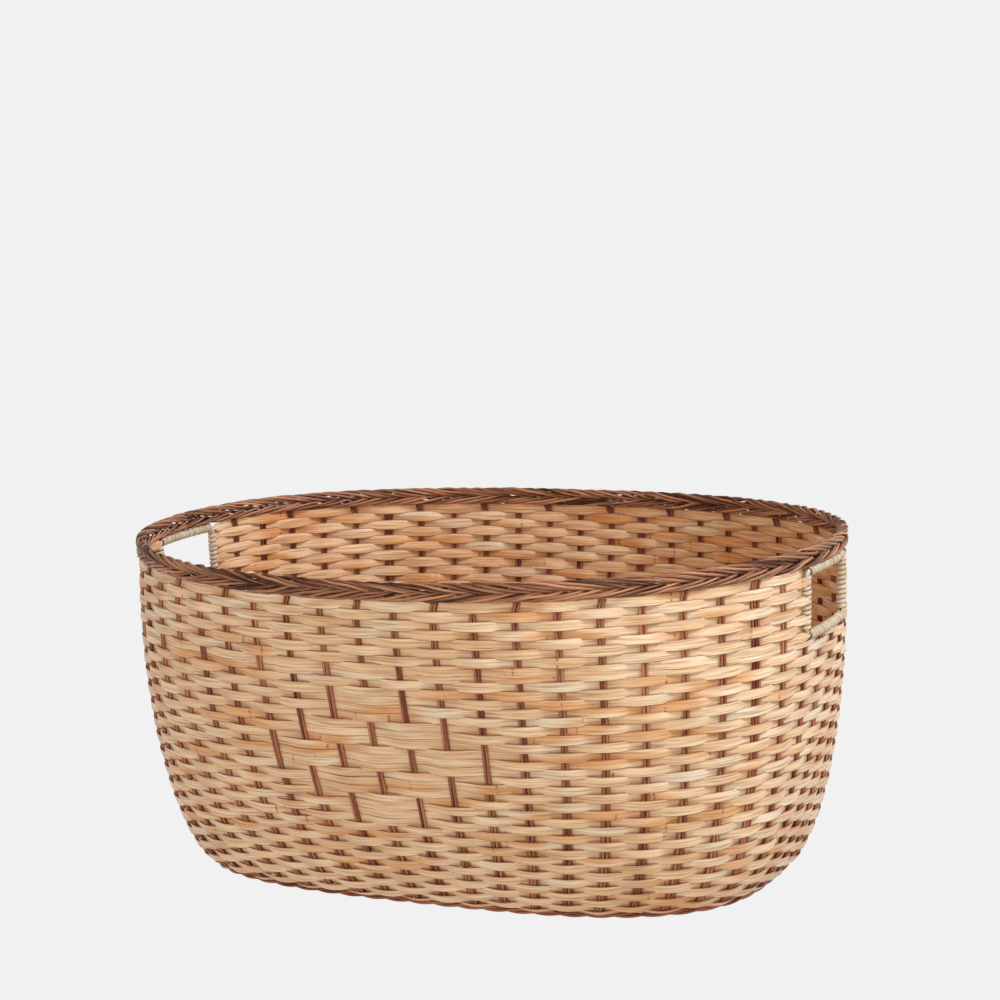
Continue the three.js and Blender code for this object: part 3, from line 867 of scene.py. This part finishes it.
class BASKET_OT_turning_strips(Operator):
    """Weaves the strips beside the hand openings, which turn back round their posts"""

    bl_idname = "basket.turning_strips"
    bl_label = "Turning strips"

    def execute(self, context):
        wall = Wall(sizes())
        stakes = Stakes(wall)
        size = wall.size
        half = wall.half_handle
        low_rows = math.ceil(size.handle_rows / 2)
        levels = (("lower", size.ring_rows, low_rows),
                  ("upper", size.ring_rows + low_rows, size.handle_rows - low_rows))
        spans = (("front", stakes.front, half, 0.5 - half),
                 ("back", stakes.back, 0.5 + half, 1 - half))
        seed = TURNING_SEED
        for side, (first, last), start, end in spans:
            places = np.concatenate([[start], stakes.places[first:last + 1], [end]])
            for level, row, rows in levels:
                skin = Skin()
                self.turning_strip(skin, wall, stakes, row, rows, first, places, seed)
                skin.piece(f"strip_{side}_{level}", "Straw strips", "weaver",
                           f"weaver_{side}_{level}", crisp=True)
                seed += 1
        return {"FINISHED"}

    def turning_strip(self, skin, wall, stakes, first_row, rows, first, places, seed):
        """One strip that runs to and fro between two posts, and round a post at each end."""
        size = wall.size
        posts = len(places) - 1
        post_reach = size.binding_seat - POST_SINK
        crossing = np.linspace(0.0, posts, posts * STRIP_SAMPLES + 1)
        n = np.minimum(np.floor(crossing).astype(int), posts - 1)
        place = mix(places[n], places[n + 1], crossing - n)
        close = np.minimum(crossing, posts - crossing)
        pull = mix(1.0, post_reach / size.strip_swing, np.clip(1 - close / POST_PULL, 0, 1))
        laid, turns = [], []
        for i in range(rows):
            row = first_row + i

            def side_at(n, step, row=row):
                return stakes.side(row + step, first - 1 + n)

            out, up, down, recess = weave(np.minimum(crossing, posts - JUST_SHORT), side_at, row)
            out = out * pull
            slim = mix(POST_WIDTH, 1.0, rising(close, *POST_WIDENS) ** POST_EASE)
            if i == 0:
                slim = slim * mix(TAIL_WIDTH, 1.0, rising(crossing, 0, TAIL_LENGTH))
            if i == rows - 1:
                tail = crossing if i % 2 else posts - crossing
                slim = slim * mix(TAIL_WIDTH, 1.0, rising(tail, 0, TAIL_LENGTH))
            data = [np.full(len(place), row + 0.5), place, out, up * slim, down * slim, recess]
            if i % 2:
                data = [values[::-1] for values in data]
            laid.append(data)
            if i < rows - 1:
                turns.append((data[1][-1], np.sign(data[2][-1]), -1 if i % 2 else 1))
        self.join_turns(skin, wall, laid, turns, post_reach, seed)

    def join_turns(self, skin, wall, rows, turns, reach, seed):
        """Sweeps the rows and the turns between them as one strip."""
        random = np.random.default_rng(seed)
        angle = np.linspace(math.pi / 2, -math.pi / 2, TURN_STEPS + 2)[1:-1]
        share = np.linspace(0, 1, TURN_STEPS + 2)[1:-1]
        half = np.full(TURN_STEPS, TURN_HALF * wall.pitch)
        slim = strip_section(half, half, wall.size.strip_thickness * TURN_THICKNESS)
        stretches = []
        for i, (row, place, out, up, down, recess) in enumerate(rows):
            strip = lay_strip(wall, row, place, place * wall.round, out, up, down, random)
            stretches.append((*strip, recess))
            if i < len(turns):
                post, side, onward = turns[i]
                turn_row, post = row[-1] + share, np.full(TURN_STEPS, post)
                along, rise, face = wall.axes(turn_row, post)
                ray = along * (onward * np.cos(angle))[:, None]
                ray = ray + face * (side * np.sin(angle))[:, None]
                path = wall.point(turn_row, post) + ray * reach
                stretches.append((path, rise, ray, slim, np.zeros(TURN_STEPS)))
        path, across, outward, section, recess = (np.concatenate(parts) for parts in zip(*stretches))
        skin.sweep(path, across, outward, section, seed, flat=True, recess=recess)


# Stakes

STAKE_SEED = 500
STAKE_STRANDS = 100

# Stakes that have three rods in place of two
THREE_RODS = (4, 23, 39, 47)

# Spacing of the rods in radii, the spread of their thickness, and how far they run past the last
# row, in rows
ROD_SPACING = 2.5
ROD_SPREAD = (0.92, 1.06)
STAKE_END = 0.1

# Unevenness of the rods along the wall and out of it: waves up the wall, and size in metres
ROD_WANDER = (3, 0.00016)
ROD_BOW = (4, 0.00012)

# Turn along the foot: share of the way down, steps, how soon it turns and how far, in metres
BEND_DEPTH = 0.98
BEND_STEPS = 6
BEND_EASE = 1.6
BEND_REACH = 0.007

# Lean below the border: how far in metres, and over how many rows
TOP_LEAN = 0.003
TOP_LEAN_ROWS = 1.2


class BASKET_OT_stakes(Operator):
    """Sets the paired brown rods that stand in the wall"""

    bl_idname = "basket.stakes"
    bl_label = "Stakes"

    def execute(self, context):
        wall = Wall(sizes())
        stakes = Stakes(wall)
        for i in range((stakes.count + 1) // 2):
            skin = Skin()
            for stake in range(2 * i, min(2 * i + 2, stakes.count)):
                self.stake(skin, wall, stakes, stake)
            skin.piece(f"stake_rods_{i + 1:02d}", "Brown rods", "stake", f"stake_rod_{i + 1:02d}")
        return {"FINISHED"}

    def stake(self, skin, wall, stakes, stake):
        """One stake of two rods, here and there three, turned along the foot at the bottom."""
        size = wall.size
        random = np.random.default_rng(STAKE_SEED + stake)
        rods = 3 if stake in THREE_RODS else 2
        tall = stakes.tall(stake)
        top = (wall.rows if tall else size.ring_rows) + STAKE_END
        bend = np.linspace(0, 1, BEND_STEPS + 1)[:-1]
        rise = np.linspace(LOWEST_ROW, top, int(top * 2))
        row = np.concatenate([mix(BEND_DEPTH * wall.foot_row, LOWEST_ROW, bend ** BEND_EASE), rise])
        turned = BEND_REACH * np.concatenate([(1 - bend) ** 2, np.zeros(len(rise))])
        lean = TOP_LEAN * rising(row, wall.rows - TOP_LEAN_ROWS, wall.rows) if tall else 0 * row
        for rod in range(rods):
            aside = (rod - (rods - 1) / 2) * ROD_SPACING * size.rod_radius
            aside = aside + drift(row / wall.rows, random, *ROD_WANDER)
            at = stakes.places[stake] + (aside + turned + lean) / wall.round
            face = wall.axes(row, at)[2]
            path = wall.point(row, at) + face * drift(row / wall.rows, random, *ROD_BOW)[:, None]
            radius = size.rod_radius * random.uniform(*ROD_SPREAD)
            skin.rod(path, face, radius, STAKE_STRANDS + 3 * stake + rod)


# Border

PLAIT_SEED = 900
PLAIT_STRANDS = 300
BORDER_STRANDS = 3
WAVE_STEPS = 56

# How sharply the rods of the plait turn at its edges, up to one, and how soon a rod is fully out
# of or in its face, down to nought
PLAIT_TURN = 0.93
PLAIT_DEPTH = 0.6

# Unevenness of the plait, each with its own waves: of the plait's waves in radians and of its rods in
# metres, the steps between a rod's unevenness up and out, and the spread of the rods' thickness
PLAIT_LOOSE = (6, 0.10)
PLAIT_WANDER = (9, 0.00022)
PLAIT_LAG = 7
PLAIT_SPREAD = (0.9, 1.06)


class BASKET_OT_border(Operator):
    """Plaits the border of the rim from three strands of staggered rods"""

    bl_idname = "basket.border"
    bl_label = "Border"

    def execute(self, context):
        wall = Wall(sizes())
        size = wall.size
        rise = size.border_height / 2 - size.border_rod_radius
        place, middle, face = wall.ring(wall.rows, size.border_waves * WAVE_STEPS)
        middle = middle + UP * size.border_height / 2
        around = 2 * math.pi * place
        for strand in range(BORDER_STRANDS):
            random = np.random.default_rng(PLAIT_SEED + strand)
            skin = Skin()
            for rod in range(strand, size.border_rods, BORDER_STRANDS):
                loose = drift(np.cos(around), random, *PLAIT_LOOSE)
                phase = 2 * math.pi * (size.border_waves * place + rod / size.border_rods) + loose
                high = np.arcsin(PLAIT_TURN * np.sin(phase)) / math.asin(PLAIT_TURN)
                wave = drift(np.sin(around), random, *PLAIT_WANDER)
                path = middle + UP * (rise * high + wave)[:, None]
                out = -np.sin(2 * phase)
                out = np.sign(out) * np.abs(out) ** PLAIT_DEPTH
                path = path + face * (size.border_spread * out - np.roll(wave, PLAIT_LAG))[:, None]
                radius = size.border_rod_radius * random.uniform(*PLAIT_SPREAD)
                # The rod's recess, where it sinks into the plait, sets its painted shade
                skin.rod(path, face, radius, PLAIT_STRANDS + rod, closed=True, recess=out)
            skin.piece(f"border_plait_{strand + 1}", "Brown plait", "border",
                       f"border_strand_{strand + 1}")
        return {"FINISHED"}


# Foot

FOOT_STRANDS = 400
FOOT_TWISTS = 31
TWIST_STEPS = 20

# Radius that the foot's rods are laid by, as a share of its height, and in such radii: the space
# between paired rods, the swing of a pair outward, and the rods' own radius
FOOT_RADIUS = 0.24
FOOT_SPACING = 2.1
FOOT_SWING = 1.1
FOOT_ROD = 0.98


class BASKET_OT_foot(Operator):
    """Twists the rods of the foot border round the bottom edge"""

    bl_idname = "basket.foot"
    bl_label = "Foot border"

    def execute(self, context):
        wall = Wall(sizes())
        place, middle, face = wall.ring(wall.foot_row, FOOT_TWISTS * TWIST_STEPS)
        radius = FOOT_RADIUS * wall.size.foot_height
        middle[:, 2] = 2 * radius
        skin = Skin()
        for strand in range(2):
            phase = 2 * math.pi * (FOOT_TWISTS * place + strand / 2)
            for rod in range(2):
                offset = (rod - 0.5) * FOOT_SPACING * radius
                line = middle + UP * (radius * np.sin(phase))[:, None]
                line = line + face * (offset + radius * FOOT_SWING * np.cos(phase))[:, None]
                skin.rod(line, UP, radius * FOOT_ROD, FOOT_STRANDS + 2 * strand + rod, closed=True)
        skin.piece("foot_rods", "Brown rods", "stake", "foot_border")
        return {"FINISHED"}


# Base

# Seeds and numbers of the strands laid across and lengthwise, and numbers of those round the edge
MAT_SEEDS = (700, 800)
MAT_STRANDS = (40, 100)
EDGE_STRANDS = 180

# Mat, in metres: room at the foot and at the strips' ends, the margin outside the last strips, the
# middle height and its wave, the waves and the size of a strip's wander, and its thickness
MAT_ROOM = 0.0004
MAT_END = 0.001
MAT_MARGIN = 0.004
MAT_HEIGHT = 0.0026
MAT_WAVE = 0.00075
MAT_WANDER = (2, 0.0003)
MAT_THICKNESS = 0.0011

# Half the width of a strip and of the room that it takes at the edge, as shares of the pitch, and
# its stations in a pitch
MAT_HALF = 0.46
MAT_EDGE = 0.45
MAT_STATIONS = 6

# Strips round the edge, in metres: way in from the wall, half width, thickness, height and its wave,
# with the waves and the steps of a round
EDGE_INSETS = (0.0042, 0.0108, 0.0174)
EDGE_HALF = 0.0033
EDGE_THICKNESS = 0.0009
EDGE_HEIGHT = 0.0046
EDGE_WAVE = 0.0003
EDGE_WAVES = 40
EDGE_STEPS = 240


class BASKET_OT_base(Operator):
    """Weaves the mat of the base"""

    bl_idname = "basket.base"
    bl_label = "Base"

    def execute(self, context):
        wall = Wall(sizes())
        size = wall.size
        room = size.foot_width / 2 + MAT_ROOM
        half_length = size.base_length / 2 - room
        half_width = size.base_width / 2 - room
        skin = Skin()
        self.lay(skin, size, half_length, half_width, True)
        self.lay(skin, size, half_width, half_length, False)
        for i, inset in enumerate(EDGE_INSETS):
            self.edge(skin, wall, inset, EDGE_STRANDS + i)
        skin.piece("base_mat", "Straw strips", "base", "base_panel", crisp=True)
        return {"FINISHED"}

    def edge(self, skin, wall, inset, seed):
        """One strip laid round the edge, over the ends of the others."""
        place, path, face = wall.ring(wall.foot_row, EDGE_STEPS)
        path = path - face * inset
        path[:, 2] = EDGE_HEIGHT + EDGE_WAVE * np.sin(2 * math.pi * EDGE_WAVES * place + seed)
        half = np.full(EDGE_STEPS, EDGE_HALF)
        skin.sweep(path, face, np.broadcast_to(UP, path.shape),
                   strip_section(half, half, EDGE_THICKNESS), seed, closed=True, flat=True)

    def lay(self, skin, size, reach, spread, lengthwise):
        """Strips laid one way, over and under those laid the other way."""
        pitch = size.mat_pitch
        count = int((2 * spread - MAT_MARGIN) // pitch)
        other = int((2 * reach - MAT_MARGIN) // pitch)
        square = size.base_squareness
        for i in range(count):
            off = (i - (count - 1) / 2) * pitch
            taken = min(1, (abs(off) + MAT_EDGE * pitch) / spread)
            end = reach * (1 - taken ** square) ** (1 / square) - MAT_END
            if end < pitch:
                continue
            random = np.random.default_rng(MAT_SEEDS[lengthwise] + i)
            stations = np.linspace(-end, end, int(2 * end / pitch * MAT_STATIONS) + 2)
            crossing = stations / pitch + (other - 1) / 2
            over = 1 if (i % 2 == 0) == lengthwise else -1
            z = MAT_HEIGHT + MAT_WAVE * np.cos(math.pi * crossing) * over
            across = np.full(len(stations), off) + drift(stations / reach, random, *MAT_WANDER)
            if lengthwise:
                path = np.stack([stations, across, z], -1)
                aside = (0.0, 1.0, 0.0)
            else:
                path = np.stack([across, stations, z], -1)
                aside = (1.0, 0.0, 0.0)
            half = np.full(len(stations), MAT_HALF * pitch)
            skin.sweep(path, np.broadcast_to(aside, path.shape), np.broadcast_to(UP, path.shape),
                       strip_section(half, half, MAT_THICKNESS), MAT_STRANDS[lengthwise] + i, flat=True)


# Handles

CANE_SEED = 800
CANE_STRANDS = (600, 650)
FRAME_STRANDS = {"left": 450, "right": 451}
FRAME_SIDES = 10

# Frame, in metres: how far it is set into the weave, and the radius of its corners, with the
# degrees of a step round a corner and the parts of a step
FRAME_SINK = 0.0005
FRAME_CORNER = 0.0045
CORNER_STEP = 11.25
STEP_PARTS = 6

# Corners of the frame: which side, up or down, and the degrees at which each starts and ends
FRAME_CORNERS = ((1, -1, -45, 0), (1, 1, 0, 90), (-1, 1, 90, 180), (-1, -1, 180, 270), (1, -1, 270, 315))

# Cane: its width and the pitch of its turns in metres, on the bars and on the posts, and the steps
# of a turn
CANE_ON_BARS = (0.0021, 0.0024)
CANE_ON_POSTS = (0.0033, 0.0042)
CANE_STEPS = 14

# Unevenness of the cane: how loose it lies in metres and the share of its width, with the turns that
# a wave of each takes, and the widest angle at which it starts
CANE_LOOSE = (2, 0.00012)
CANE_UNEVEN = (1.5, 0.06)
CANE_START = 6


class BASKET_OT_handles(Operator):
    """Binds the frames of the two hand openings with cane"""

    bl_idname = "basket.handles"
    bl_label = "Handles"

    def execute(self, context):
        wall = Wall(sizes())
        size = wall.size
        room = (size.binding_seat + size.binding_thickness - FRAME_SINK) / wall.pitch
        for side, middle, edges in (("left", 0.0, ("front", "top", "back", "bottom")),
                                    ("right", 0.5, ("back", "top", "front", "bottom"))):
            line, face = self.outline(wall, middle, size.ring_rows + room, wall.rows - room)
            skin = Skin()
            skin.rod(line, face, size.bar / 2, FRAME_STRANDS[side], closed=True, sides=FRAME_SIDES)
            skin.piece(f"handle_{side}_rod", "Pale cane", "stake", f"handle_{side}_frame")
            run = summed(np.linalg.norm(np.roll(line, -1, 0) - line, axis=1))
            quarter = len(line) // 4
            for i, edge in enumerate(edges):
                start, end = run[i * quarter], run[(i + 1) * quarter]
                self.wind(size, side, edge, line, face, run, start, end)
        return {"FINISHED"}

    def outline(self, wall, middle, low, high):
        """Middle line of a frame with rounded corners, and the way out of the wall along it."""
        reach = wall.size.handle_width / 2 - FRAME_CORNER
        rise = (high - low) / 2 * wall.pitch - FRAME_CORNER
        path = []
        for x, y, first, last in FRAME_CORNERS:
            angle = np.radians(np.arange(first, last + 1, CORNER_STEP))
            path.append(np.stack([x * reach + FRAME_CORNER * np.cos(angle),
                                  y * rise + FRAME_CORNER * np.sin(angle)], -1))
        path = np.concatenate(path)[:-1]
        shares = np.linspace(0, 1, STEP_PARTS + 1)[:-1, None]
        path = np.concatenate([mix(a, b, shares) for a, b in zip(path, np.roll(path, -1, 0))])
        row = (low + high) / 2 + path[:, 1] / wall.pitch
        place = middle + path[:, 0] / wall.round
        return wall.point(row, place), wall.axes(row, place)[2]

    def wind(self, size, side, edge, line, face, run, start, end):
        """Cane wound closely round one side of a frame, from corner to corner."""
        width, pitch = CANE_ON_BARS if edge in ("top", "bottom") else CANE_ON_POSTS
        turns = int((end - start) // pitch)
        share = np.linspace(0, 1, turns * CANE_STEPS + 1)
        random = np.random.default_rng(CANE_SEED + len(side) * 10 + len(edge))
        at = (start + end) / 2 + (share - 0.5) * (turns * pitch - width)
        angle = 2 * math.pi * turns * share + random.random() * CANE_START

        def read(values):
            values = np.concatenate([values, values[:1]])
            return np.stack([np.interp(at, run, values[:, k]) for k in range(3)], -1)

        middle = read(line)
        along = unit(np.gradient(middle, axis=0))
        one = read(face)
        one = unit(one - along * np.sum(one * along, -1, keepdims=True))
        ray = one * np.cos(angle)[:, None] + np.cross(along, one) * np.sin(angle)[:, None]
        wave, slack = CANE_LOOSE
        loose = drift(share, random, turns / wave, slack)
        path = middle + ray * (size.binding_seat + size.binding_thickness / 2 + loose)[:, None]
        wave, uneven = CANE_UNEVEN
        half = width / 2 * (1 + drift(share, random, turns / wave, uneven))
        skin = Skin()
        skin.sweep(path, along, ray, strip_section(half, half, size.binding_thickness),
                   random.integers(*CANE_STRANDS), flat=True)
        skin.piece(f"handle_{side}_cane_{edge}", "Pale cane", "binding",
                   f"handle_{side}_binding_{edge}")


# Stage

# Light of the sky against the glow of the floor
SKY_SHARE = 0.59

# Floor and the wall round it, in metres, and the parts of that wall
FLOOR_REACH = 12.0
BACKDROP_REACH = 11.0
BACKDROP_FOOT = -0.01
BACKDROP_TOP = 2.6
BACKDROP_PARTS = 48

# Lamps: place in metres and power in watts, with the height they are turned to and their size
KEY_LIGHT = ((2.2, -0.2, 2.4), 96)
FRONT_LIGHT = ((0.8, -2.85, 0.42), 23)
LAMP_AIM = 0.13
LAMP_SIZE = 1.2

# Camera, from a perspective fit: degrees round to the right end, up and tilted, distance from the
# basket and the height of the point it is turned to in metres, focal length in picture widths, and
# that point's place in the picture, in shares from the left and from the top
CAMERA_ANGLES = (25.93, 13.09, -2.21)
CAMERA_DISTANCE = 2.2066
CAMERA_AIM = 0.13165
CAMERA_FOCUS = 2.5902
AIM_ACROSS = 0.49246
AIM_DOWN = 0.70506

# Nearest and farthest that the camera sees, in metres
CAMERA_CLIP = (0.05, 60.0)


class BASKET_OT_stage(Operator):
    """Sets the floor, the soft studio light and the camera"""

    bl_idname = "basket.stage"
    bl_label = "Stage"

    def execute(self, context):
        scene = context.scene
        scene.view_settings.view_transform = "Standard"
        unlit = bpy.data.collections.new("Floor")
        scene.collection.children.link(unlit)
        self.floor(unlit)
        self.backdrop(unlit)
        self.world(scene)
        self.light(scene, unlit, "Key light", *KEY_LIGHT, colours().key)
        self.light(scene, unlit, "Front light", *FRONT_LIGHT, colours().front)
        self.camera(scene)
        return {"FINISHED"}

    def plain(self, name, points, faces, unlit):
        """Surface of the stage that glows evenly, but casts no diffuse light on the basket."""
        mesh = bpy.data.meshes.new(name)
        mesh.from_pydata(points, [], faces)
        material = bpy.data.materials.new(name)
        material.use_nodes = True
        shader = material.node_tree.nodes["Principled BSDF"]
        shader.inputs["Base Color"].default_value = (0, 0, 0, 1)
        shader.inputs["Roughness"].default_value = 1.0
        shader.inputs["Specular IOR Level"].default_value = 0.0
        shader.inputs["Emission Color"].default_value = (*colours().floor, 1)
        shader.inputs["Emission Strength"].default_value = 1.0
        mesh.materials.append(material)
        surface = bpy.data.objects.new(name, mesh)
        unlit.objects.link(surface)
        surface.visible_diffuse = False

    def floor(self, unlit):
        """Plain pale floor."""
        corners = ((-1, -1), (1, -1), (1, 1), (-1, 1))
        points = [(x * FLOOR_REACH, y * FLOOR_REACH, 0) for x, y in corners]
        self.plain("Pale floor", points, [(0, 1, 2, 3)], unlit)

    def backdrop(self, unlit):
        """Pale wall all round, which meets the floor without a line."""
        parts = BACKDROP_PARTS
        angles = [2 * math.pi * i / parts for i in range(parts)]
        points = [(BACKDROP_REACH * math.cos(angle), BACKDROP_REACH * math.sin(angle), z)
                  for z in (BACKDROP_FOOT, BACKDROP_TOP) for angle in angles]
        faces = [((i + 1) % parts, i, i + parts, (i + 1) % parts + parts) for i in range(parts)]
        self.plain("Pale backdrop", points, faces, unlit)

    def world(self, scene):
        """Even warm light from all round."""
        world = bpy.data.worlds.new("Pale studio")
        world.use_nodes = True
        background = world.node_tree.nodes["Background"]
        background.inputs["Color"].default_value = (*colours().sky, 1)
        background.inputs["Strength"].default_value = SKY_SHARE
        scene.world = world

    def light(self, scene, unlit, name, place, power, tint):
        """Large soft lamp turned to the basket, which leaves the floor to the surroundings."""
        lamp = bpy.data.lights.new(name, "AREA")
        lamp.shape = "DISK"
        lamp.size = LAMP_SIZE
        lamp.energy = power
        lamp.color = tint
        holder = bpy.data.objects.new(name, lamp)
        holder.location = place
        aim = Vector((0, 0, LAMP_AIM)) - holder.location
        holder.rotation_euler = aim.to_track_quat("-Z", "Y").to_euler()
        scene.collection.objects.link(holder)
        lit = bpy.data.collections.new(name)
        holder.light_linking.receiver_collection = lit
        lit.children.link(unlit)
        lit.collection_children[0].light_linking.link_state = "EXCLUDE"

    def camera(self, scene):
        """Camera of the photograph: turned to the right end, a little above and tilted."""
        turn, rise, roll = (math.radians(angle) for angle in CAMERA_ANGLES)
        level = math.cos(rise)
        back = Vector((math.sin(turn) * level, -math.cos(turn) * level, math.sin(rise)))
        data = bpy.data.cameras.new("Camera")
        data.lens = CAMERA_FOCUS * data.sensor_width
        data.shift_x = 0.5 - AIM_ACROSS
        data.shift_y = AIM_DOWN - 0.5
        data.clip_start, data.clip_end = CAMERA_CLIP
        camera = bpy.data.objects.new("Camera", data)
        look = (-back).to_track_quat("-Z", "Y").to_matrix().to_4x4()
        place = Matrix.Translation(Vector((0, 0, CAMERA_AIM)) + back * CAMERA_DISTANCE)
        camera.matrix_world = place @ look @ Matrix.Rotation(roll, 4, "Z")
        scene.collection.objects.link(camera)
        scene.camera = camera


class BASKET_PT_panel(Panel):
    """Lists the basket's steps, sizes and colours"""

    bl_idname = "BASKET_PT_panel"
    bl_label = "Laundry basket"
    bl_space_type = "VIEW_3D"
    bl_region_type = "UI"
    bl_category = "Basket"

    def draw(self, context):
        layout = self.layout
        for operator in STEPS:
            layout.operator(operator.bl_idname)
        for group in (sizes(), colours()):
            box = layout.box()
            for name in group.__annotations__:
                box.prop(group, name)


STEPS = (
    BASKET_OT_stage,
    BASKET_OT_finishes,
    BASKET_OT_ring_strips,
    BASKET_OT_turning_strips,
    BASKET_OT_stakes,
    BASKET_OT_border,
    BASKET_OT_foot,
    BASKET_OT_base,
    BASKET_OT_handles,
)
CLASSES = (BasketSizes, BasketColours, *STEPS, BASKET_PT_panel)


def register():
    for entry in CLASSES:
        bpy.utils.register_class(entry)
    bpy.types.Scene.basket_sizes = PointerProperty(type=BasketSizes)
    bpy.types.Scene.basket_colours = PointerProperty(type=BasketColours)


def unregister():
    del bpy.types.Scene.basket_colours
    del bpy.types.Scene.basket_sizes
    for entry in reversed(CLASSES):
        bpy.utils.unregister_class(entry)


def main():
    register()
    bpy.ops.basket.stage()
    bpy.ops.basket.finishes()
    bpy.ops.basket.ring_strips()
    bpy.ops.basket.turning_strips()
    bpy.ops.basket.stakes()
    bpy.ops.basket.border()
    bpy.ops.basket.foot()
    bpy.ops.basket.base()
    bpy.ops.basket.handles()


if __name__ == "__main__":
    main()
